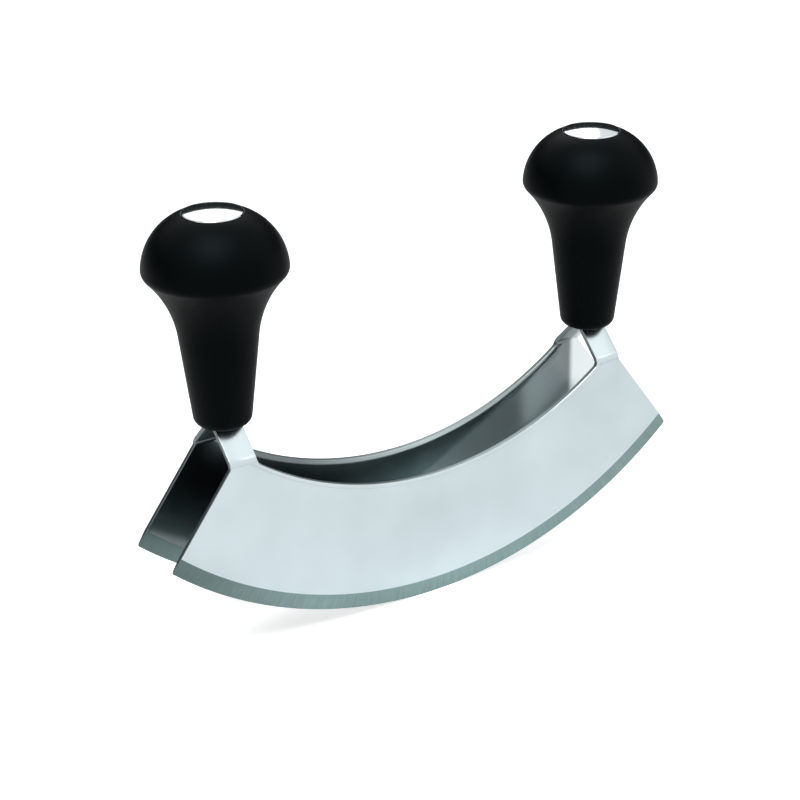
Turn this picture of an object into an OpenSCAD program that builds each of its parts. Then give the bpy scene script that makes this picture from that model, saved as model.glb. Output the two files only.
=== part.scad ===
// Double-bladed mezzaluna: two crescent blades side by side, carried by two upright knob handles.
// X runs along the blades, Y from the front blade (-) to the rear one (+), and Z is up.
// The origin lies midway between the blades, at the lowest point of the cutting edges.

/* [Blades] */
// Length of a blade from tip to tip
blade_len = 180; // [170:1:195]
// Radius of the curved cutting edge
edge_radius = 138; // [125:1:170]
// Radius of the hollow upper edge
back_radius = 103.5; // [98:0.5:115]
// Depth of the blade at its middle
blade_depth = 40.2; // [34:0.1:46]
// Thickness of the sheet steel
sheet = 1.5; // [1.2:0.1:2]
// Clear gap between the two blades
blade_gap = 19.4; // [16:0.2:24]
// Width of the ground bevel on each face
bevel_w = 5; // [3:0.5:8]
// Thickness that grinding leaves at the cutting edge
edge_land = 0.16; // [0.1:0.02:0.3]
// Rounding of the upper edge, which the fingers can touch
back_round = 0.45; // [0.2:0.05:0.5]
// Rounding of each blade tip
tip_round = 0.8; // [0.5:0.1:2]

/* [Tangs] */
// Width of a tang
tang_w = 8.7; // [7:0.1:9.5]
// Lean of a tang from upright, where it runs in under the handle
tang_lean = 45; // [38:1:50]
// Inside radius of the two bends in a tang
bend_r = 1.5; // [1:0.1:2]
// Fillet between a tang and the upper edge of the blade
root_fillet = 2.5; // [1.5:0.1:4]
// Length of the upright end of a tang, inside the handle
tang_end = 18; // [15:0.5:22]

/* [Handles] */
// Distance between the axes of the two handles
handle_spacing = 131; // [124:0.5:134]
// How far the grip reaches down over the upper bends of the tangs
grip_drop = 1.5; // [1:0.1:2]
// Radius that the neck would have at the underside of the grip without its rounded rim
neck_r = 8.1; // [7.8:0.1:8.8]
// How far the neck widens for each millimetre of height
neck_taper = 0.12; // [0.1:0.005:0.14]
// Rounding of the lower rim of the grip
rim_r = 2.1; // [1.5:0.1:2.4]
// Height at which the neck starts to sweep out into the knob
sweep_z = 27.5; // [26:0.5:29]
// Radius of the hollow sweep from the neck to the knob
sweep_r = 31.6; // [30:0.1:33]
// Radius of the tight roll under the knob
roll_r = 3; // [2.5:0.1:3.5]
// Height of the dome's arc centre above the underside of the grip
dome_z = 46.5; // [45:0.5:48]
// Distance of the dome's arc centre from the axis of the handle
dome_offset = 3; // [2:0.1:4]
// Radius of the dome's arc
dome_r = 17.7; // [17:0.1:18.5]

/* [Caps] */
// Radius of the steel cap
cap_r = 8.75; // [8.4:0.05:9.2]
// Rise of the domed cap above its rim
cap_rise = 1.2; // [0.8:0.1:1.6]
// Height of the cap's upright skirt
cap_skirt = 3.4; // [2.8:0.1:4]
// Thickness of the pressed cap
cap_wall = 0.8; // [0.6:0.1:1]
// Rounding between the skirt and the dome of the cap
cap_round = 0.5; // [0.3:0.1:0.7]
// Height of the cap's shoulder above the plastic around it
cap_proud = 0.25; // [0.1:0.05:0.4]

/* [Fasteners] */
// Diameter of the stud
stud_d = 5; // [4:0.5:6]
// Thickness of the stud's flattened end, between the tangs
spade_t = 2; // [1.6:0.1:2.4]
// Length over which the flattened end runs out into the round stud
spade_runout = 4; // [3:0.5:5]
// Length of stud that stands above the nut
stud_over = 1; // [0.5:0.1:1.2]
// Distance across the flats of the nut
nut_flats = 8; // [7:0.5:9]
// Height of the nut
nut_h = 4; // [3:0.1:4.7]
// Diameter of the washer
washer_d = 10; // [9:0.5:11]
// Thickness of the washer
washer_t = 1; // [0.8:0.1:1.2]
// Diameter of a rivet's shank
rivet_d = 3; // [2.5:0.1:3.4]
// Diameter of a rivet's head
rivet_head_d = 4.6; // [4.2:0.1:5]
// Height of a rivet's head
rivet_head_h = 0.7; // [0.5:0.1:0.8]
// Distance between the two rivets of a handle
rivet_pitch = 7; // [6:0.5:8]

/* [Clearances] */
// Gap round the tangs and rivets in the socket of the grip
socket_gap = 0.3; // [0.2:0.05:0.4]
// Gap round the stud in the bore of the grip and in the washer
bore_gap = 0.25; // [0.15:0.05:0.4]
// Gap round the cap in its recess, which shows as a fine dark line
cap_gap = 0.12; // [0.08:0.02:0.2]
// Gap round the washer in the nut well
well_gap = 0.8; // [0.5:0.1:1]
// Gap round a rivet in its holes and round the stud in its nut
pin_gap = 0.05; // [0.03:0.01:0.08]

/* [Hidden] */
$fn = 96;
bend_steps = 8;

polished_steel = "#c9cfd1";
plain_steel = "#8f9496";
soft_black = "#17191a";
left = -1;
right = 1;

// Blade: middle plane, centre of the upper edge, and the two sides of a tang
blade_y = (blade_gap + sheet) / 2;
back_z = blade_depth + back_radius;
tang_in = handle_spacing / 2 - tang_w / 2;
tang_out = handle_spacing / 2 + tang_w / 2;
bend_z = back_z - sqrt(pow(back_radius, 2) - pow(tang_in, 2));

// Tang: two equal and opposite bends carry it in from the blade's plane to the face of the stud
bend_mid = bend_r + sheet / 2;
step_in = blade_y - (spade_t + sheet) / 2;
slant_len = (step_in - 2 * bend_mid * (1 - cos(tang_lean))) / sin(tang_lean);
tang_rise = 2 * bend_mid * sin(tang_lean) + slant_len * cos(tang_lean);
upright_z = bend_z + tang_rise;
tang_top = upright_z + tang_end;
rivet_low = upright_z + (tang_end - rivet_pitch) / 2;

// Grip: its underside, and the socket that takes tangs and rivets
grip_z = upright_z - grip_drop;
slant_y = spade_t / 2 + sheet + bend_r * (1 - cos(tang_lean))
    + max(0, grip_drop - bend_r * sin(tang_lean)) * tan(tang_lean);
rivet_y = spade_t / 2 + sheet + rivet_head_h;
socket_y = max(slant_y, rivet_y) + socket_gap;
socket_x = tang_w / 2 + socket_gap;
socket_h = tang_top + socket_gap - grip_z;

// Top of the handle, measured from the underside of the grip
recess_r = cap_r + cap_gap;
cap_shoulder = dome_z + sqrt(pow(dome_r, 2) - pow(recess_r - dome_offset, 2)) + cap_proud;
ledge_z = cap_shoulder - cap_skirt;
nut_z = ledge_z - stud_over / 2 - nut_h;
washer_z = nut_z - washer_t;
stud_top = nut_z + nut_h + stud_over;
well_r = washer_d / 2 + well_gap;

// Points of an arc round a centre
function arc(centre, radius, from, to, steps) = [
    for (i = [0:steps])
        let (a = from + (to - from) * i / steps)
        centre + radius * [cos(a), sin(a)]
];

// Direction from one point to another
function heading(from, to) = atan2(to[1] - from[1], to[0] - from[0]);

// Centre of an arc that lies inside one circle and outside another and touches both
function roll_centre(inner, inner_r, outer, outer_r, r) =
    let (a = inner_r - r)
    let (b = outer_r + r)
    let (span = outer - inner)
    let (d = norm(span))
    let (along = (a * a - b * b + d * d) / (2 * d))
    let (across = sqrt(a * a - along * along))
    inner + (along * span + across * [-span[1], span[0]]) / d;

// Outline of the grip, from the axis at its underside to the axis at its top
neck_lean = atan(neck_taper);
rim_c = [neck_r + neck_taper * rim_r - rim_r / cos(neck_lean), rim_r];
sweep_c = [neck_r + neck_taper * sweep_z + sweep_r * cos(neck_lean), sweep_z - sweep_r * sin(neck_lean)];
dome_c = [dome_offset, dome_z];
roll_c = roll_centre(dome_c, dome_r, sweep_c, sweep_r, roll_r);
grip_outline = concat(
    [[0, 0]],
    arc(rim_c, rim_r, -90, -neck_lean, 8),
    arc(sweep_c, sweep_r, 180 - neck_lean, heading(sweep_c, roll_c), 14),
    arc(roll_c, roll_r, heading(sweep_c, roll_c) - 180, heading(dome_c, roll_c), 8),
    arc(dome_c, dome_r, heading(dome_c, roll_c), 90, 22),
    [[0, dome_z + dome_r]]
);

// Outline of the pressed cap, a cup with a shallow dome for its floor
crown_r = (pow(cap_r, 2) + pow(cap_rise, 2)) / (2 * cap_rise);
crown_c = [0, cap_skirt + cap_rise - crown_r];
lip_c = [cap_r - cap_round, crown_c[1] + sqrt(pow(crown_r - cap_round, 2) - pow(cap_r - cap_round, 2))];
cap_inner = [cap_r - cap_wall, crown_c[1] + sqrt(pow(crown_r - cap_wall, 2) - pow(cap_r - cap_wall, 2))];
cap_outline = concat(
    [[cap_r - cap_wall, 0], [cap_r, 0]],
    arc(lip_c, cap_round, 0, heading(crown_c, lip_c), 6),
    arc(crown_c, crown_r, heading(crown_c, lip_c), 90, 10),
    arc(crown_c, crown_r - cap_wall, 90, heading(crown_c, cap_inner), 10)
);

// Stands what was drawn flat, or turned about Z, upright so that its own Z lies along Y
module upright() {
    rotate([90, 0, 0])
        children();
}

module mirrored_pair() {
    children();
    mirror([1, 0, 0])
        children();
}

// Disc of sheet steel whose rim is ground to a cutting edge from both faces
module ground_disc() {
    upright()
        rotate_extrude()
            polygon([
                [0, -sheet / 2],
                [edge_radius - bevel_w, -sheet / 2],
                [edge_radius, -edge_land / 2],
                [edge_radius, edge_land / 2],
                [edge_radius - bevel_w, sheet / 2],
                [0, sheet / 2]
            ]);
}

// Cutter for the upper edge: it flares past both faces, which leaves the edge rounded
module back_cutter() {
    quarter = arc([back_radius + back_round, sheet / 2 - back_round], back_round, 180, 90, 4);
    past = quarter[4] + (quarter[4] - quarter[3]);
    flare = concat(quarter, [past, [past[0], sheet]]);
    mirrored_flare = [for (i = [len(flare) - 1:-1:0]) [flare[i][0], -flare[i][1]]];
    upright()
        rotate_extrude()
            polygon(concat([[0, -sheet]], mirrored_flare, flare, [[0, sheet]]));
}

// Front view of the blank: slanting ends with rounded tips, level shoulders where the tangs start
module blank_outline() {
    tip = [blade_len / 2, edge_radius - sqrt(pow(edge_radius, 2) - pow(blade_len / 2, 2))];
    shoulder = [tang_out, bend_z];
    end_way = heading(tip, shoulder);
    edge_normal = heading([0, edge_radius], tip);
    corner = edge_normal + 270 - end_way;
    round_c = tip + tip_round / sin(corner / 2) * [cos(end_way + corner / 2), sin(end_way + corner / 2)];
    // The last arc point stops short of the cutting edge, so that the cut crosses it cleanly
    leave = edge_normal + 10;
    tip_arc = arc(round_c, tip_round, end_way - 90, leave, 5);
    past_edge = tip_arc[5] + bevel_w * [cos(leave - 90), sin(leave - 90)];
    half = concat([shoulder], tip_arc, [past_edge, [blade_len / 2, -bevel_w]]);
    other_half = [for (i = [len(half) - 1:-1:0]) [-half[i][0], half[i][1]]];
    polygon(concat(half, other_half));
}

module crescent() {
    difference() {
        intersection() {
            translate([0, 0, edge_radius])
                ground_disc();
            upright()
                linear_extrude(2 * sheet, center = true)
                    blank_outline();
        }
        translate([0, 0, back_z])
            back_cutter();
    }
}

// Fillet between tang and upper edge, as seen from the front
fillet_c = [tang_in - root_fillet, back_z - sqrt(pow(back_radius - root_fillet, 2) - pow(tang_in - root_fillet, 2))];
fillet_way = heading([0, back_z], fillet_c);
fillet_start = [0, back_z] + back_radius * [cos(fillet_way), sin(fillet_way)];
foot_h = bend_z - fillet_start[1] + back_round;
strip_w = tang_out - fillet_start[0];

// Side view of the strip that is bent inwards and then upright again, from its foot in the blade
first_bend = [bend_mid, bend_z];
second_bend = [step_in - bend_mid, upright_z];
strip_outline = concat(
    [[-sheet / 2, bend_z - foot_h]],
    arc(first_bend, bend_r + sheet, 180, 180 - tang_lean, bend_steps),
    arc(second_bend, bend_r, -tang_lean, 0, bend_steps),
    [[step_in - sheet / 2, tang_top], [step_in + sheet / 2, tang_top]],
    arc(second_bend, bend_r + sheet, 0, -tang_lean, bend_steps),
    arc(first_bend, bend_r, 180 - tang_lean, 180, bend_steps),
    [[sheet / 2, bend_z - foot_h]]
);

module bent_strip() {
    translate([fillet_start[0], 0, 0])
        rotate([90, 0, 90])
            linear_extrude(strip_w)
                polygon(strip_outline);
}

// Cuts the strip to the width of the tang and leaves the fillet at its root
module fillet_cutter() {
    depth = step_in + 2 * sheet;
    side = arc(fillet_c, root_fillet, fillet_way, 0, 7);
    translate([0, depth - sheet, 0])
        upright()
            linear_extrude(depth)
                polygon(concat(
                    side,
                    [[tang_in, tang_top + sheet], [fillet_start[0] - sheet, tang_top + sheet]],
                    [[fillet_start[0] - sheet, fillet_start[1]]]
                ));
}

module rivet_holes() {
    for (z = [rivet_low, rivet_low + rivet_pitch])
        translate([handle_spacing / 2, step_in + sheet, z])
            upright()
                cylinder(r = rivet_d / 2 + pin_gap, h = 2 * sheet);
}

// One blade with its two tangs, drawn with its middle plane at Y = 0 and bent towards +Y
module blade() {
    difference() {
        union() {
            crescent();
            mirrored_pair()
                bent_strip();
        }
        mirrored_pair()
            fillet_cutter();
        mirrored_pair()
            rivet_holes();
    }
}

module front_blade() {
    color(polished_steel)
        translate([0, -blade_y, 0])
            blade();
}

module rear_blade() {
    color(polished_steel)
        mirror([0, 1, 0])
            translate([0, -blade_y, 0])
                blade();
}

module at_handle(side) {
    translate([side * handle_spacing / 2, 0, 0])
        children();
}

// Rod hammered flat at its lower end, which stands between the two tangs
module stud(side) {
    neck_w = stud_d - 2 * pin_gap - 2 * bore_gap;
    runout_z = tang_top - spade_runout;
    top = grip_z + stud_top;
    color(plain_steel)
        at_handle(side)
            difference() {
                union() {
                    upright()
                        linear_extrude(spade_t, center = true)
                            polygon([
                                [-tang_w / 2, upright_z],
                                [tang_w / 2, upright_z],
                                [tang_w / 2, runout_z],
                                [neck_w / 2, tang_top],
                                [neck_w / 2, tang_top + spade_runout / 4],
                                [-neck_w / 2, tang_top + spade_runout / 4],
                                [-neck_w / 2, tang_top],
                                [-tang_w / 2, runout_z]
                            ]);
                    intersection() {
                        translate([0, 0, tang_top])
                            cylinder(d = stud_d, h = top - tang_top);
                        rotate([90, 0, 90])
                            linear_extrude(2 * stud_d, center = true)
                                polygon([
                                    [-spade_t / 2, tang_top],
                                    [spade_t / 2, tang_top],
                                    [stud_d, tang_top + 2 * spade_runout],
                                    [stud_d, top + 1],
                                    [-stud_d, top + 1],
                                    [-stud_d, tang_top + 2 * spade_runout]
                                ]);
                    }
                }
                for (z = [rivet_low, rivet_low + rivet_pitch])
                    translate([0, spade_t, z])
                        upright()
                            cylinder(r = rivet_d / 2 + pin_gap, h = 2 * spade_t);
            }
}

// Rivet along Y: a shank through both tangs and the stud, with a low round head on each side
module rivet() {
    face = spade_t / 2 + sheet;
    head_r = (pow(rivet_head_d / 2, 2) + pow(rivet_head_h, 2)) / (2 * rivet_head_h);
    head_c = [0, face + rivet_head_h - head_r];
    rim_way = heading(head_c, [rivet_head_d / 2, face]);
    head = arc(head_c, head_r, rim_way, 90, 6);
    other_head = [for (i = [6:-1:0]) [head[i][0], -head[i][1]]];
    upright()
        rotate_extrude()
            polygon(concat(other_head, [[rivet_d / 2, -face], [rivet_d / 2, face]], head));
}

module tang_rivets(side) {
    color(plain_steel)
        at_handle(side)
            for (z = [rivet_low, rivet_low + rivet_pitch])
                translate([0, 0, z])
                    rivet();
}

module grip(side) {
    color(soft_black)
        at_handle(side)
            translate([0, 0, grip_z])
                difference() {
                    rotate_extrude()
                        polygon(grip_outline);
                    translate([-socket_x, -socket_y, -1])
                        cube([2 * socket_x, 2 * socket_y, socket_h + 1]);
                    translate([0, 0, socket_h / 2])
                        cylinder(r = stud_d / 2 + bore_gap, h = washer_z);
                    translate([0, 0, washer_z])
                        cylinder(r = well_r, h = dome_r);
                    translate([0, 0, ledge_z])
                        cylinder(r = recess_r, h = dome_r);
                }
}

module washer(side) {
    color(plain_steel)
        at_handle(side)
            translate([0, 0, grip_z + washer_z])
                difference() {
                    cylinder(d = washer_d, h = washer_t);
                    translate([0, 0, -1])
                        cylinder(r = stud_d / 2 + bore_gap, h = washer_t + 2);
                }
}

// Hexagon nut with its corners turned off at both faces
module nut(side) {
    corner_r = nut_flats / 2 / cos(30);
    turned = corner_r - nut_flats / 2;
    color(plain_steel)
        at_handle(side)
            translate([0, 0, grip_z + nut_z])
                difference() {
                    intersection() {
                        cylinder(r = corner_r, h = nut_h, $fn = 6);
                        rotate_extrude()
                            polygon([
                                [0, 0],
                                [nut_flats / 2, 0],
                                [corner_r, turned / 2],
                                [corner_r, nut_h - turned / 2],
                                [nut_flats / 2, nut_h],
                                [0, nut_h]
                            ]);
                    }
                    translate([0, 0, -1])
                        cylinder(r = stud_d / 2 + pin_gap, h = nut_h + 2);
                }
}

module cap(side) {
    color(polished_steel)
        at_handle(side)
            translate([0, 0, grip_z + ledge_z])
                rotate_extrude()
                    polygon(cap_outline);
}

module left_stud() { stud(left); }
module right_stud() { stud(right); }
module left_tang_rivets() { tang_rivets(left); }
module right_tang_rivets() { tang_rivets(right); }
module left_grip() { grip(left); }
module right_grip() { grip(right); }
module left_washer() { washer(left); }
module right_washer() { washer(right); }
module left_nut() { nut(left); }
module right_nut() { nut(right); }
module left_cap() { cap(left); }
module right_cap() { cap(right); }

front_blade();
rear_blade();
left_stud();
right_stud();
left_tang_rivets();
right_tang_rivets();
left_grip();
right_grip();
left_washer();
right_washer();
left_nut();
right_nut();
left_cap();
right_cap();
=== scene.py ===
"""A double-bladed mezzaluna: two crescent blades of sheet steel under two black knob handles."""
import math

import bmesh
import bpy
from mathutils import Matrix, Vector


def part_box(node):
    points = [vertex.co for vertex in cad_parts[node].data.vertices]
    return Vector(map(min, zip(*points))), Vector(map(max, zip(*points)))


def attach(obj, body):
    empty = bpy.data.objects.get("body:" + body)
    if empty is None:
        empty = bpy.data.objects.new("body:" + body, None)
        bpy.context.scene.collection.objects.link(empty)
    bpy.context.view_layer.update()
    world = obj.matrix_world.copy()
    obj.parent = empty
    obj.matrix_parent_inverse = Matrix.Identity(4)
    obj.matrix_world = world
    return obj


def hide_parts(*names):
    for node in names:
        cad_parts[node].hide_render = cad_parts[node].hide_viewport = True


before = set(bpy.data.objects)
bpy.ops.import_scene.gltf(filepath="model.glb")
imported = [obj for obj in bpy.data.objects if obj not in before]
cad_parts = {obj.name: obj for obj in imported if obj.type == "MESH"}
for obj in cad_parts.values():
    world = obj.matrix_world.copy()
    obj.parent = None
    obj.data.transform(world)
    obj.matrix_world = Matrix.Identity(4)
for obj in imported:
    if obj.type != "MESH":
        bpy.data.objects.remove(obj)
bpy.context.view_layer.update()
MM = 0.001

# Camera. It stands in front of the left handle and looks down over the front blade at the right
# one, through a long lens. Its place was worked out from the outlines of the real tool.
AIM = Vector((-5.34, 0.0, 61.4)) * MM
CAMERA_DISTANCE = 639.1 * MM
CAMERA_AZIMUTH = math.radians(-33.37)
CAMERA_ELEVATION = math.radians(23.66)
CAMERA_ROLL = math.radians(-0.88)

camera_data = bpy.data.cameras.new("camera")
camera_data.lens = 96.04
camera_data.sensor_width = 36.0
camera_data.clip_start = 0.01
camera = bpy.data.objects.new("camera", camera_data)
bpy.context.scene.collection.objects.link(camera)
backward = Vector((
    math.sin(CAMERA_AZIMUTH) * math.cos(CAMERA_ELEVATION),
    -math.cos(CAMERA_AZIMUTH) * math.cos(CAMERA_ELEVATION),
    math.sin(CAMERA_ELEVATION),
))
turned = (-backward).to_track_quat("-Z", "Y").to_matrix().to_4x4()
camera.matrix_world = (
    Matrix.Translation(AIM + backward * CAMERA_DISTANCE) @ turned @ Matrix.Rotation(CAMERA_ROLL, 4, "Z")
)
bpy.context.scene.camera = camera


# Blades. Each is one crescent cut from 1.5 mm stainless sheet, with both tangs bent from the same
# sheet. The faces are polished, both sides of the edge are ground on a wheel, and the cut edges of
# the sheet are only tumbled smooth.
BLADE_LENGTH = 180.0 * MM
BLADE_DEPTH = 40.2 * MM
BLADE_GAP = 19.4 * MM
SHEET = 1.5 * MM
EDGE_RADIUS = 138.0 * MM
BEVEL_RADIUS = 133.0 * MM
BACK_RADIUS = 103.5 * MM
EDGE_LAND = 0.16 * MM
TIP_ROUND = 0.8 * MM
TIP_CUTBACK = 0.48 * MM
TUMBLED_ROUND = 0.22 * MM
BLADE_Y = (BLADE_GAP + SHEET) / 2
BACK_CENTRE_Z = BLADE_DEPTH + BACK_RADIUS

# Each tang leans in to the stud between two bends, and stands upright inside the handle
HANDLE_X = 65.5 * MM
TANG_WIDTH = 8.7 * MM
TANG_TOP_Z = 88.6 * MM
TANG_LEAN = math.radians(45)
STUD_FLAT = 2.0 * MM
ROOT_FILLET = 2.5 * MM
BEND_RADIUS = 3.4 * MM
BEND_RISE = 0.93 * MM
BEND_ROWS = 10
TANG_INNER_X = HANDLE_X - TANG_WIDTH / 2
TANG_OUTER_X = HANDLE_X + TANG_WIDTH / 2
SHOULDER_Z = BACK_CENTRE_Z - math.sqrt(BACK_RADIUS ** 2 - TANG_INNER_X ** 2)
STEP_IN = BLADE_Y - (STUD_FLAT + SHEET) / 2
BEND_TRIM = BEND_RADIUS * math.tan(TANG_LEAN / 2)
BEND_LENGTH = BEND_RADIUS * TANG_LEAN
SLANT_LENGTH = STEP_IN / math.sin(TANG_LEAN) - 2 * BEND_TRIM
LOWER_BEND_Z = SHOULDER_Z + BEND_RISE - BEND_TRIM
UPPER_BEND_Z = SHOULDER_Z + BEND_RISE + STEP_IN / math.tan(TANG_LEAN) + BEND_TRIM
UPPER_BEND_LENGTH = LOWER_BEND_Z + BEND_LENGTH + SLANT_LENGTH

ARC_STEPS = 96
BACK_STEPS = 40
FILLET_STEPS = 8
CUT_ANGLE = math.radians(60)
SHARP_ANGLE = math.radians(28)

# A point this near to a line or plane counts as on it, and points this near to each other as one
ON_LINE = 0.01 * MM
ON_PLANE = 0.001 * MM
SAME_POINT = 0.002 * MM


def arc_points(centre, radius, start, end, steps):
    """Points of an arc, from one angle to another in degrees."""
    angles = [math.radians(start + (end - start) * i / steps) for i in range(steps + 1)]
    return [centre + radius * Vector((math.cos(a), math.sin(a))) for a in angles]


def heading(start, end):
    """The direction from one point to another, in degrees."""
    way = end - start
    return math.degrees(math.atan2(way.y, way.x))


def object_from(work, name, sharp_angle=None):
    """Turns a bmesh into an object in the scene. A sharp angle makes it smooth below that angle."""
    mesh = bpy.data.meshes.new(name)
    work.to_mesh(mesh)
    work.free()
    if sharp_angle is not None:
        mesh.shade_smooth()
        mesh.set_sharp_from_angle(angle=sharp_angle)
    piece = bpy.data.objects.new(name, mesh)
    bpy.context.scene.collection.objects.link(piece)
    return piece


def upper_outline():
    """Right half of the flat blank above its bevel: end edge, tang, root fillet and hollow back."""
    tip = Vector((BLADE_LENGTH / 2, EDGE_RADIUS - math.sqrt(EDGE_RADIUS ** 2 - BLADE_LENGTH ** 2 / 4)))
    shoulder = Vector((TANG_OUTER_X, SHOULDER_Z))
    back_centre = Vector((0.0, BACK_CENTRE_Z))
    fillet_x = TANG_INNER_X - ROOT_FILLET
    fillet_z = BACK_CENTRE_Z - math.sqrt((BACK_RADIUS - ROOT_FILLET) ** 2 - fillet_x ** 2)
    fillet = Vector((fillet_x, fillet_z))
    fillet_way = heading(back_centre, fillet)
    tang_length = UPPER_BEND_LENGTH + BEND_LENGTH + TANG_TOP_Z - UPPER_BEND_Z
    points = [shoulder, Vector((TANG_OUTER_X, tang_length)), Vector((TANG_INNER_X, tang_length))]
    points += arc_points(fillet, ROOT_FILLET, 0, fillet_way, FILLET_STEPS)
    points += arc_points(back_centre, BACK_RADIUS, fillet_way, -90, BACK_STEPS)[1:]
    return tip, points


def on_end_edge(tip, shoulder, radius):
    """Where the slanting end edge meets a circle about the centre of the cutting edge."""
    way = (shoulder - tip).normalized()
    from_centre = tip - Vector((0.0, EDGE_RADIUS))
    half = from_centre.dot(way)
    reach = -half - math.sqrt(half ** 2 - from_centre.length_squared + radius ** 2)
    return tip + max(reach, 0.0) * way


def bent(point):
    """Carries a point of the flat blank to its place once the tangs are bent towards +Y."""
    past = point.z - LOWER_BEND_Z
    if past <= 0.0:
        return point
    first = min(past, BEND_LENGTH) / BEND_RADIUS
    slant = min(max(past - BEND_LENGTH, 0.0), SLANT_LENGTH)
    second = min(max(past - BEND_LENGTH - SLANT_LENGTH, 0.0), BEND_LENGTH) / BEND_RADIUS
    upright = max(past - 2 * BEND_LENGTH - SLANT_LENGTH, 0.0)
    lean = first - second
    y = BEND_RADIUS * (1 - math.cos(first)) + slant * math.sin(TANG_LEAN)
    z = LOWER_BEND_Z + BEND_RADIUS * math.sin(first) + slant * math.cos(TANG_LEAN) + upright
    if second > 0.0:
        y += BEND_RADIUS * (math.cos(lean) - math.cos(TANG_LEAN))
        z += BEND_RADIUS * (math.sin(TANG_LEAN) - math.sin(lean))
    return Vector((point.x, y + point.y * math.cos(lean), z - point.y * math.sin(lean)))


def flat_blank():
    """The flat crescent with its tangs upright, its bevels ground and its cut edges tumbled."""
    tip, upper = upper_outline()
    centre = Vector((0.0, EDGE_RADIUS))
    rows = []
    for radius in (EDGE_RADIUS, EDGE_RADIUS - TIP_ROUND, BEVEL_RADIUS):
        start_angle = heading(centre, on_end_edge(tip, upper[0], radius))
        if radius == EDGE_RADIUS:
            start_angle -= math.degrees(TIP_CUTBACK / EDGE_RADIUS)
        rows.append(arc_points(centre, radius, start_angle, -180 - start_angle, ARC_STEPS))
    work = bmesh.new()
    edge, land, bevel = [[work.verts.new((p.x, 0.0, p.y)) for p in row] for row in rows]
    for i in range(ARC_STEPS):
        work.faces.new((edge[i], land[i], land[i + 1], edge[i + 1]))
        work.faces.new((land[i], bevel[i], bevel[i + 1], land[i + 1]))
    mirrored = [Vector((-p.x, p.y)) for p in reversed(upper[:-1])]
    top = [work.verts.new((p.x, 0.0, p.y)) for p in upper + mirrored]
    work.faces.new(bevel[::-1] + top)
    bmesh.ops.recalc_face_normals(work, faces=work.faces)
    shell = bmesh.ops.extrude_face_region(work, geom=work.faces[:], use_keep_orig=True)
    lifted = [item for item in shell["geom"] if isinstance(item, bmesh.types.BMVert)]
    bmesh.ops.translate(work, verts=lifted, vec=(0.0, SHEET, 0.0))
    bmesh.ops.translate(work, verts=work.verts, vec=(0.0, -SHEET / 2, 0.0))
    for vert in work.verts:
        into_bevel = math.hypot(vert.co.x, vert.co.z - EDGE_RADIUS) - BEVEL_RADIUS
        if into_bevel > ON_LINE:
            vert.co.y *= 1 + (EDGE_LAND / SHEET - 1) * into_bevel / (EDGE_RADIUS - BEVEL_RADIUS)
    bmesh.ops.recalc_face_normals(work, faces=work.faces)
    cut_edges = [
        e for e in work.edges
        if len(e.link_faces) == 2 and e.calc_face_angle() > CUT_ANGLE
        and min(math.hypot(v.co.x, v.co.z - EDGE_RADIUS) for v in e.verts) < BEVEL_RADIUS + ON_LINE
    ]
    bmesh.ops.bevel(
        work, geom=cut_edges, offset=TUMBLED_ROUND, segments=3, profile=0.5, affect="EDGES", material=-1,
    )
    return work


def bent_blade(name, facing):
    """A blade with its tangs bent in. The facing is -1 for the front blade and 1 for the rear."""
    work = flat_blank()
    for start in (LOWER_BEND_Z, UPPER_BEND_LENGTH):
        for row in range(BEND_ROWS + 1):
            height = start + BEND_LENGTH * row / BEND_ROWS
            bmesh.ops.bisect_plane(
                work, geom=work.verts[:] + work.edges[:] + work.faces[:], dist=ON_PLANE,
                plane_co=(0.0, 0.0, height), plane_no=(0.0, 0.0, 1.0),
            )
    for vert in work.verts:
        vert.co = bent(vert.co)
        vert.co.y -= BLADE_Y
    if facing > 0:
        bmesh.ops.scale(work, vec=(1.0, -1.0, 1.0), verts=work.verts)
    bmesh.ops.recalc_face_normals(work, faces=work.faces)
    return object_from(work, name, SHARP_ANGLE)


# Outer faces, the painted shade on the inner faces at their left end and middle, the painted
# reflection that brightens their right end, the ground bevels, and the tumbled cut edges
BLADE_STEEL = "#d0dce0"
INNER_LEFT_SHADE = "#757e80"
INNER_MIDDLE_SHADE = "#bfcbcd"
PAINTED_REFLECTION = "#edf4f6"
# The ground bevels, darkened partly with painted shade, as if they mirrored the shaded floor below
GROUND_AND_SHADED_STEEL = "#8ea6a5"
CUT_STEEL = "#6f7a7b"
INNER_LEFT_X = -36.0 * MM
INNER_MIDDLE_X = 10.8 * MM
REFLECTION_FROM_X = 66.0 * MM
REFLECTION_FULL_X = 67.8 * MM
GRIND_MARK = 0.55 * MM
GRIND_LENGTH = 7.0 * MM
GRIND_DEPTH = 0.012 * MM
POLISH_CLOUD = 22.0 * MM
TUMBLE_LINE = 0.5 * MM
BUFFED_WIDTH = 1.8 * MM
BUFFED_DROP = 0.5 * MM
BEVEL_LINE = 0.1 * MM


def linear(hex_colour, shade=1.0):
    """An sRGB hex colour as the linear colour that a shader takes, darkened by a share."""
    channels = [int(hex_colour[i:i + 2], 16) / 255 for i in (1, 3, 5)]
    return [
        shade * (c / 12.92 if c <= 0.04045 else ((c + 0.055) / 1.055) ** 2.4) for c in channels
    ] + [1.0]


def add(tree, kind, inputs=None, **settings):
    """Adds a shader node, with numbers set on its inputs and sockets linked to them."""
    node = tree.nodes.new("ShaderNode" + kind)
    for name, value in settings.items():
        setattr(node, name, value)
    for key, value in (inputs or {}).items():
        if isinstance(value, bpy.types.NodeSocket):
            tree.links.new(value, node.inputs[key])
        else:
            node.inputs[key].default_value = value
    return node


def new_material(name):
    """An empty node material, and its tree."""
    material = bpy.data.materials.new(name)
    material.use_nodes = True
    material.node_tree.nodes.clear()
    return material, material.node_tree


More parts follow.
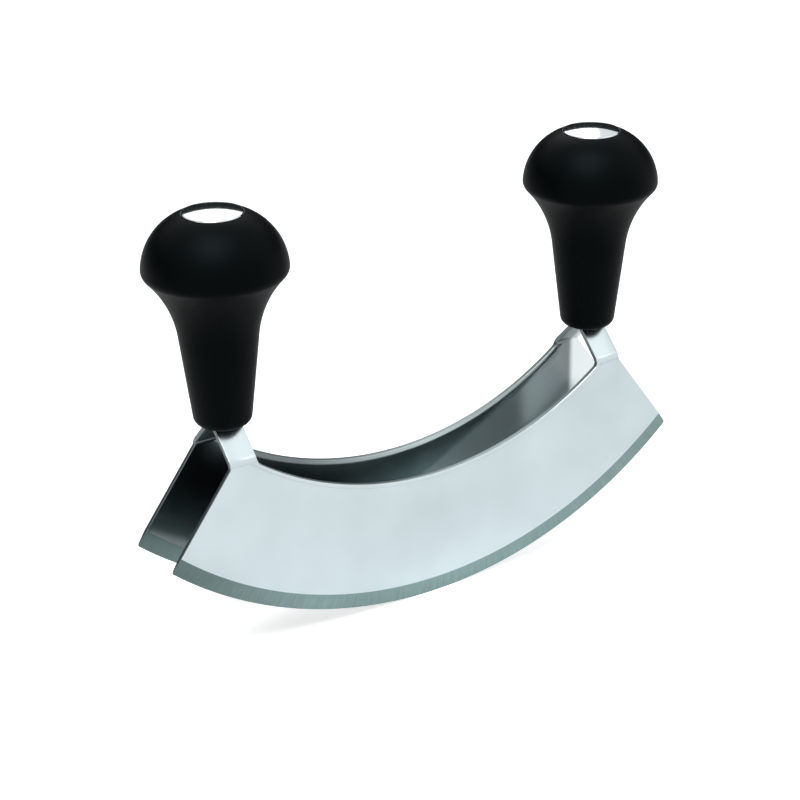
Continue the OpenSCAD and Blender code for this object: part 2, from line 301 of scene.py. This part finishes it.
def paint_ramp(ramp, stops):
    """Sets the stops of a colour ramp, as pairs of position and colour."""
    while len(ramp.elements) < len(stops):
        ramp.elements.new(1.0)
    for element, (position, colour) in zip(ramp.elements, stops):
        element.position = position
        element.color = colour


def grinding_marks(tree, axes, facing, drop, radius):
    """Marks of the grinding wheel across the bevels, drawn coarser than real ones so that they show."""
    angle = add(tree, "Math", {0: axes.outputs["X"], 1: drop.outputs[0]}, operation="ARCTAN2")
    arc = add(tree, "Math", {0: angle.outputs[0], 1: EDGE_RADIUS / GRIND_MARK}, operation="MULTIPLY")
    depth = add(tree, "Math", {0: radius.outputs["Value"], 1: 1 / GRIND_LENGTH}, operation="MULTIPLY")
    place = add(tree, "CombineXYZ", {
        "X": arc.outputs[0], "Y": depth.outputs[0], "Z": facing.outputs["Y"],
    })
    marks = add(tree, "TexNoise", {
        "Vector": place.outputs[0], "Scale": 1.0, "Detail": 3.0, "Roughness": 0.6,
    })
    return marks.outputs["Fac"]


def tumbled_lines(tree, place):
    """Fine lines that run along the cut edges, also drawn coarser than real ones."""
    drawn_out = add(tree, "VectorMath", {
        0: place.outputs["Object"], 1: (0.03 / TUMBLE_LINE, 1 / TUMBLE_LINE, 1 / TUMBLE_LINE),
    }, operation="MULTIPLY")
    lines = add(tree, "TexNoise", {"Vector": drawn_out.outputs[0], "Scale": 1.0, "Detail": 2.0})
    return lines.outputs["Fac"]


def painted_inner_light(tree, axes):
    """Colour of the faces that look at each other.

    They are painted with the shade that falls between the blades, darkest at the left end, and their
    right ends with a painted bright reflection, edged by a thin painted dark band.
    """
    along = add(tree, "MapRange", {
        "Value": axes.outputs["X"], "From Min": -BLADE_LENGTH / 2, "From Max": BLADE_LENGTH / 2,
    })
    painted_light = add(tree, "ValToRGB", {"Fac": along.outputs[0]})
    # Painted shade that lightens from the left end to the middle, a thin painted dark band, then the painted
    # reflection at the right end
    paint_ramp(painted_light.color_ramp, (
        (0.5 + INNER_LEFT_X / BLADE_LENGTH, linear(INNER_LEFT_SHADE)),
        (0.5 + INNER_MIDDLE_X / BLADE_LENGTH, linear(INNER_MIDDLE_SHADE)),
        (0.5 + REFLECTION_FROM_X / BLADE_LENGTH, linear(INNER_MIDDLE_SHADE, 0.4)),
        (0.5 + REFLECTION_FULL_X / BLADE_LENGTH, linear(PAINTED_REFLECTION)),
    ))
    return painted_light.outputs[0]


def bevel_steel(tree, axes, grind):
    """Colour of the bevels, partly painted shade. It follows their marks, and is darker towards the left
    end.
    """
    ground = add(tree, "ValToRGB", {"Fac": grind})
    paint_ramp(ground.color_ramp, ((0.32, linear(GROUND_AND_SHADED_STEEL, 0.78)), (0.7, linear(GROUND_AND_SHADED_STEEL))))
    left_end = add(tree, "MapRange", {
        "Value": axes.outputs["X"], "From Min": -BLADE_LENGTH / 2, "From Max": -BLADE_LENGTH / 4,
        "To Min": 0.55, "To Max": 1.0,
    })
    darkened = add(tree, "VectorMath", {
        0: ground.outputs[0], 1: left_end.outputs[0],
    }, operation="MULTIPLY")
    return darkened.outputs[0]


def rolled_band(tree, axes):
    """Height of the faces along the hollow back, where buffing has rolled them over a little."""
    drop = add(tree, "Math", {0: BACK_CENTRE_Z, 1: axes.outputs["Z"]}, operation="SUBTRACT")
    across = add(tree, "CombineXYZ", {"X": axes.outputs["X"], "Y": drop.outputs[0]})
    reach = add(tree, "VectorMath", {0: across.outputs[0]}, operation="LENGTH")
    buffed = add(tree, "MapRange", {
        "Value": reach.outputs["Value"],
        "From Min": BACK_RADIUS, "From Max": BACK_RADIUS + BUFFED_WIDTH, "To Min": 1.0, "To Max": 0.0,
    })
    roll = add(tree, "Math", {0: buffed.outputs[0], 1: 2.0}, operation="POWER")
    below = add(tree, "Math", {0: axes.outputs["Z"], 1: SHOULDER_Z}, operation="LESS_THAN")
    rolled = add(tree, "Math", {0: roll.outputs[0], 1: below.outputs[0]}, operation="MULTIPLY")
    sunk = add(tree, "Math", {0: rolled.outputs[0], 1: -BUFFED_DROP}, operation="MULTIPLY")
    return sunk.outputs[0]


def polished_sheet_steel():
    """Stainless sheet: mirror-like but soft on its faces, matt with fine cross marks on the bevels."""
    material, tree = new_material("polished_stainless_sheet")
    place = add(tree, "TexCoord")
    axes = add(tree, "SeparateXYZ", {0: place.outputs["Object"]})
    facing = add(tree, "SeparateXYZ", {0: place.outputs["Normal"]})

    # Where the surface is on a bevel, where it is a cut edge, and where it looks at the other blade
    drop = add(tree, "Math", {0: EDGE_RADIUS, 1: axes.outputs["Z"]}, operation="SUBTRACT")
    across = add(tree, "CombineXYZ", {"X": axes.outputs["X"], "Y": drop.outputs[0]})
    radius = add(tree, "VectorMath", {0: across.outputs[0]}, operation="LENGTH")
    on_bevel = add(tree, "MapRange", {
        "Value": radius.outputs["Value"],
        "From Min": BEVEL_RADIUS - BEVEL_LINE / 2, "From Max": BEVEL_RADIUS + BEVEL_LINE,
    }, interpolation_type="SMOOTHSTEP")
    side = add(tree, "Math", {0: facing.outputs["Y"]}, operation="ABSOLUTE")
    on_cut = add(tree, "MapRange", {
        "Value": side.outputs[0], "From Min": 0.8, "From Max": 0.45, "To Min": 0.0, "To Max": 1.0,
    })
    turned_in = add(tree, "Math", {0: facing.outputs["Y"], 1: axes.outputs["Y"]}, operation="MULTIPLY")
    inside = add(tree, "Math", {0: turned_in.outputs[0], 1: 0.0}, operation="LESS_THAN")

    # Soft clouds in the polish, rougher bevels and matt cut edges
    cloud = add(tree, "TexNoise", {
        "Vector": place.outputs["Object"], "Scale": 1 / POLISH_CLOUD, "Detail": 2.0, "Roughness": 0.5,
    })
    grind = grinding_marks(tree, axes, facing, drop, radius)
    lines = tumbled_lines(tree, place)
    face_rough = add(tree, "MapRange", {"Value": cloud.outputs["Fac"], "To Min": 0.14, "To Max": 0.26})
    bevel_rough = add(tree, "MapRange", {"Value": grind, "To Min": 0.24, "To Max": 0.5})
    cut_rough = add(tree, "MapRange", {"Value": lines, "To Min": 0.3, "To Max": 0.45})
    uncut_rough = add(tree, "Mix", {
        0: on_bevel.outputs[0], 2: face_rough.outputs[0], 3: bevel_rough.outputs[0],
    }, data_type="FLOAT")
    rough = add(tree, "Mix", {
        0: on_cut.outputs[0], 2: uncut_rough.outputs[0], 3: cut_rough.outputs[0],
    }, data_type="FLOAT")

    # Colours, with painted shade and a painted reflection on the inner faces, which the clouds in the polish
    # make a little lighter and darker
    sheet = add(tree, "Mix", {
        0: inside.outputs[0], 6: linear(BLADE_STEEL), 7: painted_inner_light(tree, axes),
    }, data_type="RGBA")
    bevelled = add(tree, "Mix", {
        0: on_bevel.outputs[0], 6: sheet.outputs[2], 7: bevel_steel(tree, axes, grind),
    }, data_type="RGBA")
    colour = add(tree, "Mix", {
        0: on_cut.outputs[0], 6: bevelled.outputs[2], 7: linear(CUT_STEEL),
    }, data_type="RGBA")
    haze = add(tree, "MapRange", {
        "Value": cloud.outputs["Fac"], "From Min": 0.3, "From Max": 0.7, "To Min": 0.94, "To Max": 1.04,
    })
    hazed = add(tree, "VectorMath", {0: colour.outputs[2], 1: haze.outputs[0]}, operation="MULTIPLY")

    # Relief of the marks on the bevels and of the rolled band
    marked = add(tree, "Math", {0: grind, 1: on_bevel.outputs[0]}, operation="MULTIPLY")
    relief = add(tree, "Math", {
        0: marked.outputs[0], 1: GRIND_DEPTH, 2: rolled_band(tree, axes),
    }, operation="MULTIPLY_ADD")
    bump = add(tree, "Bump", {"Height": relief.outputs[0], "Strength": 1.0, "Distance": 1.0})
    shader = add(tree, "BsdfPrincipled", {
        "Base Color": hazed.outputs[0], "Roughness": rough.outputs[0], "Metallic": 1.0,
        "Normal": bump.outputs[0],
    })
    add(tree, "OutputMaterial", {"Surface": shader.outputs[0]})
    return material


blade_steel = polished_sheet_steel()
for node, facing in (("front_blade", -1), ("rear_blade", 1)):
    blade = bent_blade(node + "_sheet", facing)
    blade.data.materials.append(blade_steel)
    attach(blade, "root")
    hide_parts(node)


# Grips. Each is one moulding of black polypropylene with a fine matt mould finish. It is pulled down
# onto the tangs by the nut inside it, and a recess in its top takes the steel cap.
GRIP_SEGMENTS = 144
RIM_STEPS = 10
SWEEP_STEPS = 28
ROLL_STEPS = 14
DOME_STEPS = 36
FOLD_ANGLE = math.radians(40)
NECK_RADIUS = 8.1 * MM
NECK_TAPER = 0.12
RIM_RADIUS = 2.9 * MM
UNDERSIDE_RISE = 0.6 * MM
SWEEP_HEIGHT = 27.5 * MM
SWEEP_RADIUS = 31.6 * MM
ROLL_RADIUS = 3.0 * MM
DOME_CENTRE = Vector((2.98, 46.5)) * MM
DOME_RADIUS = 17.7 * MM
CAP_RADIUS = 8.75 * MM
CAP_GAP = 0.12 * MM
RECESS_DEPTH = 3.2 * MM
RECESS_LIP = 0.25 * MM
RECESS_CHAMFER = 0.1 * MM
GRIP_BLACK = "#010303"
# A cool blue tint painted onto the grips' highlights
HIGHLIGHT_TINT = "#d8f4ff"
SPARK_GRAIN = 0.35 * MM
HANDLING_PATCH = 14.0 * MM


def spun(name, outline, centre_x, base_z, segments):
    """A closed solid of revolution about an upright axis, from an outline of radius and height."""
    work = bmesh.new()
    corners = [work.verts.new((point.x, 0.0, point.y)) for point in outline]
    edges = [work.edges.new(pair) for pair in zip(corners, corners[1:])]
    bmesh.ops.spin(
        work, geom=corners + edges, cent=(0, 0, 0), axis=(0, 0, 1), angle=math.tau,
        steps=segments, use_merge=True,
    )
    bmesh.ops.remove_doubles(work, verts=work.verts, dist=SAME_POINT)
    bmesh.ops.recalc_face_normals(work, faces=work.faces)
    bmesh.ops.translate(work, verts=work.verts, vec=(centre_x, 0.0, base_z))
    return object_from(work, name, FOLD_ANGLE)


def grip_outline():
    """Radius and height from the underside: rounded rim, tapered neck, sweep, roll, dome, recess."""
    lean = math.atan(NECK_TAPER)
    lean_degrees = math.degrees(lean)
    rim_height = UNDERSIDE_RISE + RIM_RADIUS
    rim = Vector((NECK_RADIUS + NECK_TAPER * rim_height - RIM_RADIUS / math.cos(lean), rim_height))
    sweep = Vector((
        NECK_RADIUS + NECK_TAPER * SWEEP_HEIGHT + SWEEP_RADIUS * math.cos(lean),
        SWEEP_HEIGHT - SWEEP_RADIUS * math.sin(lean),
    ))
    # The roll touches the dome from inside and the sweep from outside
    inner = DOME_RADIUS - ROLL_RADIUS
    outer = SWEEP_RADIUS + ROLL_RADIUS
    span = sweep - DOME_CENTRE
    along = (inner ** 2 - outer ** 2 + span.length_squared) / (2 * span.length)
    off = math.sqrt(inner ** 2 - along ** 2)
    roll = DOME_CENTRE + (along * span + off * Vector((-span.y, span.x))) / span.length
    recess = CAP_RADIUS + CAP_GAP
    lip_radius = recess + RECESS_LIP
    lip_angle = math.degrees(math.acos((lip_radius - DOME_CENTRE.x) / DOME_RADIUS))
    lip = DOME_CENTRE + DOME_RADIUS * Vector((
        math.cos(math.radians(lip_angle)), math.sin(math.radians(lip_angle)),
    ))
    points = [Vector((0.0, UNDERSIDE_RISE))]
    points += arc_points(rim, RIM_RADIUS, -90, -lean_degrees, RIM_STEPS)
    points += arc_points(sweep, SWEEP_RADIUS, 180 - lean_degrees, heading(sweep, roll), SWEEP_STEPS)
    onto_dome = heading(DOME_CENTRE, roll)
    points += arc_points(roll, ROLL_RADIUS, heading(sweep, roll) - 180, onto_dome, ROLL_STEPS)
    points += arc_points(DOME_CENTRE, DOME_RADIUS, onto_dome, lip_angle, DOME_STEPS)[1:]
    points.append(Vector((recess, lip.y - RECESS_CHAMFER)))
    points.append(Vector((recess, lip.y - RECESS_DEPTH)))
    points.append(Vector((0.0, lip.y - RECESS_DEPTH)))
    return points


def matt_black_plastic():
    """Black polypropylene from a spark-eroded mould: a faint even grain that spreads highlights.

    The grain is drawn coarser than a real one, so that it shows.
    """
    material, tree = new_material("matt_black_polypropylene")
    place = add(tree, "TexCoord")
    grain = add(tree, "TexNoise", {
        "Vector": place.outputs["Object"], "Scale": 1 / SPARK_GRAIN, "Detail": 2.0, "Roughness": 0.6,
    })
    handling = add(tree, "TexNoise", {
        "Vector": place.outputs["Object"], "Scale": 1 / HANDLING_PATCH, "Detail": 3.0, "Roughness": 0.55,
    })
    rough = add(tree, "MapRange", {"Value": handling.outputs["Fac"], "To Min": 0.4, "To Max": 0.5})
    tone = add(tree, "ValToRGB", {"Fac": grain.outputs["Fac"]})
    paint_ramp(tone.color_ramp, ((0.3, linear(GRIP_BLACK, 0.8)), (0.7, linear(GRIP_BLACK))))
    bump = add(tree, "Bump", {"Height": grain.outputs["Fac"], "Strength": 0.25, "Distance": 0.02 * MM})
    # The specular tint paints the highlights cool blue
    shader = add(tree, "BsdfPrincipled", {
        "Base Color": tone.outputs[0], "Roughness": rough.outputs[0], "IOR": 1.49,
        "Specular IOR Level": 0.052, "Specular Tint": linear(HIGHLIGHT_TINT), "Normal": bump.outputs[0],
    })
    add(tree, "OutputMaterial", {"Surface": shader.outputs[0]})
    return material


grip_black = matt_black_plastic()
for side, sign in (("left", -1), ("right", 1)):
    node = side + "_grip"
    grip = spun(side + "_grip_moulding", grip_outline(), sign * HANDLE_X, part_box(node)[0].z, GRIP_SEGMENTS)
    grip.data.materials.append(grip_black)
    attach(grip, "root")
    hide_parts(node)


# Caps. Each is a shallow cup pressed from thin stainless sheet and polished on its crown. It is
# pushed into the recess in the grip and hides the nut under it.
CAP_RISE = 1.2 * MM
CAP_ROUND = 0.5 * MM
CAP_WALL = 0.8 * MM
CAP_SEGMENTS = 96
CAP_ROUND_STEPS = 8
CROWN_STEPS = 24
CAP_STEEL = "#dbe2e3"
POLISH_RING = 0.3 * MM


def cap_outline(height):
    """Radius and height of the cup, from its skirt over the crown and back inside."""
    crown_radius = (CAP_RADIUS ** 2 + CAP_RISE ** 2) / (2 * CAP_RISE)
    crown = Vector((0.0, height - crown_radius))
    reach = CAP_RADIUS - CAP_ROUND
    lip = Vector((reach, crown.y + math.sqrt((crown_radius - CAP_ROUND) ** 2 - reach ** 2)))
    inside = CAP_RADIUS - CAP_WALL
    under = Vector((inside, crown.y + math.sqrt((crown_radius - CAP_WALL) ** 2 - inside ** 2)))
    points = [Vector((inside, 0.0)), Vector((CAP_RADIUS, 0.0))]
    points += arc_points(lip, CAP_ROUND, 0, heading(crown, lip), CAP_ROUND_STEPS)
    points += arc_points(crown, crown_radius, heading(crown, lip), 90, CROWN_STEPS)[1:]
    points += arc_points(crown, crown_radius - CAP_WALL, 90, heading(crown, under), CROWN_STEPS)
    return points + [points[0]]


def polished_cap_steel():
    """Polished stainless pressing, with the faint rings that a polishing wheel leaves.

    The rings are drawn coarser than real ones, so that they show.
    """
    material, tree = new_material("polished_stainless_pressing")
    place = add(tree, "TexCoord")
    axes = add(tree, "SeparateXYZ", {0: place.outputs["Object"]})
    from_middle = add(tree, "Math", {0: axes.outputs["X"]}, operation="ABSOLUTE")
    from_axis = add(tree, "Math", {0: from_middle.outputs[0], 1: HANDLE_X}, operation="SUBTRACT")
    flat = add(tree, "CombineXYZ", {"X": from_axis.outputs[0], "Y": axes.outputs["Y"]})
    radius = add(tree, "VectorMath", {0: flat.outputs[0]}, operation="LENGTH")
    ring_place = add(tree, "Math", {0: radius.outputs["Value"], 1: 1 / POLISH_RING}, operation="MULTIPLY")
    ring_vector = add(tree, "CombineXYZ", {"X": ring_place.outputs[0]})
    rings = add(tree, "TexNoise", {"Vector": ring_vector.outputs[0], "Scale": 1.0, "Detail": 3.0})
    rough = add(tree, "MapRange", {"Value": rings.outputs["Fac"], "To Min": 0.06, "To Max": 0.12})
    tone = add(tree, "ValToRGB", {"Fac": rings.outputs["Fac"]})
    paint_ramp(tone.color_ramp, ((0.0, linear(CAP_STEEL, 0.88)), (1.0, linear(CAP_STEEL))))
    bump = add(tree, "Bump", {"Height": rings.outputs["Fac"], "Strength": 0.1, "Distance": 0.01 * MM})
    shader = add(tree, "BsdfPrincipled", {
        "Base Color": tone.outputs[0], "Roughness": rough.outputs[0], "Metallic": 1.0,
        "Normal": bump.outputs[0],
    })
    add(tree, "OutputMaterial", {"Surface": shader.outputs[0]})
    return material


cap_steel = polished_cap_steel()
for side, sign in (("left", -1), ("right", 1)):
    node = side + "_cap"
    low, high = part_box(node)
    outline = cap_outline(high.z - low.z)
    cap = spun(side + "_cap_pressing", outline, sign * HANDLE_X, low.z, CAP_SEGMENTS)
    cap.data.materials.append(cap_steel)
    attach(cap, "root")
    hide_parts(node)


# Fasteners. Inside each handle a stud with a flattened end is riveted between the tangs, and a nut
# on a washer pulls the grip down. They are zinc-plated mild steel, dull and slightly mottled.
ZINC = "#9aa1a5"
ZINC_DARK = "#7d858a"
SPANGLE = 1.4 * MM


def zinc_plated_steel():
    """Zinc plating: satin grey, with soft patches a millimetre or so across."""
    material, tree = new_material("zinc_plated_steel")
    place = add(tree, "TexCoord")
    patches = add(tree, "TexNoise", {
        "Vector": place.outputs["Object"], "Scale": 1 / SPANGLE, "Detail": 2.0, "Roughness": 0.5,
    })
    tone = add(tree, "ValToRGB", {"Fac": patches.outputs["Fac"]})
    paint_ramp(tone.color_ramp, ((0.0, linear(ZINC_DARK)), (1.0, linear(ZINC))))
    rough = add(tree, "MapRange", {"Value": patches.outputs["Fac"], "To Min": 0.32, "To Max": 0.5})
    shader = add(tree, "BsdfPrincipled", {
        "Base Color": tone.outputs[0], "Roughness": rough.outputs[0], "Metallic": 1.0,
    })
    add(tree, "OutputMaterial", {"Surface": shader.outputs[0]})
    return material


def dress(node, material):
    """Gives a carried-over node its material in every slot."""
    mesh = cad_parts[node].data
    mesh.materials.clear()
    mesh.materials.append(material)


zinc = zinc_plated_steel()
for side in ("left", "right"):
    for kind in ("stud", "tang_rivets", "washer", "nut"):
        node = side + "_" + kind
        dress(node, zinc)


# Floor and light. A white table stands under broad soft lights, in a white room. It glows a little,
# to the camera and less so in the steel, so that it is nearly as white as the room.
FLOOR_SIZE = 6.0
FLOOR_WHITE = "#e9eaea"
TABLE_LIFT = 0.7
MIRRORED_LIFT = 0.25
ROOM_LIGHT = 0.12
CURTAIN_RADIUS = 2.0
CURTAIN_HEIGHT = 0.98
CURTAIN_SEGMENTS = 48
CURTAIN_GREY = "#33393a"
LIGHTS = (
    # name, place in metres, side length in metres, watts
    ("key_softbox", (-0.4, -0.45, 1.5), 1.0, 21.0),
    ("fill_softbox", (0.85, -0.7, 1.25), 0.9, 1.4),
    ("rear_softbox", (0.75, 1.4, 1.4), 1.0, 7.0),
)


def shiny_rays(tree, path):
    """1 for a ray that comes from a shiny or clear surface, otherwise 0."""
    return add(tree, "Math", {
        0: path.outputs["Is Glossy Ray"], 1: path.outputs["Is Transmission Ray"],
    }, operation="MAXIMUM").outputs[0]


def white_table_paint():
    """Matt white paint with its glow."""
    material, tree = new_material("white_table")
    path = add(tree, "LightPath")
    mirrored = add(tree, "Math", {0: shiny_rays(tree, path), 1: MIRRORED_LIFT}, operation="MULTIPLY")
    lift = add(tree, "Math", {
        0: path.outputs["Is Camera Ray"], 1: TABLE_LIFT, 2: mirrored.outputs[0],
    }, operation="MULTIPLY_ADD")
    matt = add(tree, "BsdfDiffuse", {"Color": linear(FLOOR_WHITE)})
    glow = add(tree, "Emission", {"Strength": lift.outputs[0]})
    both = add(tree, "AddShader", {0: matt.outputs[0], 1: glow.outputs[0]})
    add(tree, "OutputMaterial", {"Surface": both.outputs[0]})
    return material


def curtain_cloth():
    """Dark grey cloth, matt all over."""
    material, tree = new_material("grey_curtain")
    cloth = add(tree, "BsdfDiffuse", {"Color": linear(CURTAIN_GREY)})
    add(tree, "OutputMaterial", {"Surface": cloth.outputs[0]})
    return material


def hung_curtain():
    """Half a ring of cloth behind the table and under the lights. Only the steel shows it."""
    work = bmesh.new()
    bmesh.ops.create_circle(work, cap_ends=False, radius=CURTAIN_RADIUS, segments=CURTAIN_SEGMENTS)
    wall = bmesh.ops.extrude_edge_only(work, edges=work.edges[:])
    raised = [item for item in wall["geom"] if isinstance(item, bmesh.types.BMVert)]
    bmesh.ops.translate(work, verts=raised, vec=(0.0, 0.0, CURTAIN_HEIGHT))
    front = [vert for vert in work.verts if vert.co.y < 0]
    bmesh.ops.delete(work, geom=front, context="VERTS")
    piece = object_from(work, "curtain")
    piece.visible_camera = False
    piece.visible_diffuse = False
    piece.visible_shadow = False
    return piece


def white_room():
    """A world that is white to the camera and in the steel, and lights the rest only faintly."""
    room = bpy.data.worlds.new("white_room")
    room.use_nodes = True
    tree = room.node_tree
    tree.nodes.clear()
    path = add(tree, "LightPath")
    seen = add(tree, "Math", {
        0: path.outputs["Is Camera Ray"], 1: shiny_rays(tree, path),
    }, operation="MAXIMUM")
    strength = add(tree, "MapRange", {"Value": seen.outputs[0], "To Min": ROOM_LIGHT, "To Max": 1.0})
    white = add(tree, "Background", {"Color": (1.0, 1.0, 1.0, 1.0), "Strength": strength.outputs[0]})
    add(tree, "OutputWorld", {"Surface": white.outputs[0]})
    return room


scene = bpy.context.scene
scene.view_settings.view_transform = "Standard"
scene.world = white_room()

work = bmesh.new()
bmesh.ops.create_grid(work, x_segments=1, y_segments=1, size=FLOOR_SIZE / 2)
floor = object_from(work, "floor")
floor.data.materials.append(white_table_paint())

curtain = hung_curtain()
curtain.data.materials.append(curtain_cloth())

for name, place, size, watts in LIGHTS:
    light_data = bpy.data.lights.new(name, "AREA")
    light_data.shape = "SQUARE"
    light_data.size = size
    light_data.energy = watts
    light = bpy.data.objects.new(name, light_data)
    light.location = place
    light.rotation_euler = (AIM - Vector(place)).to_track_quat("-Z", "Y").to_euler()
    scene.collection.objects.link(light)
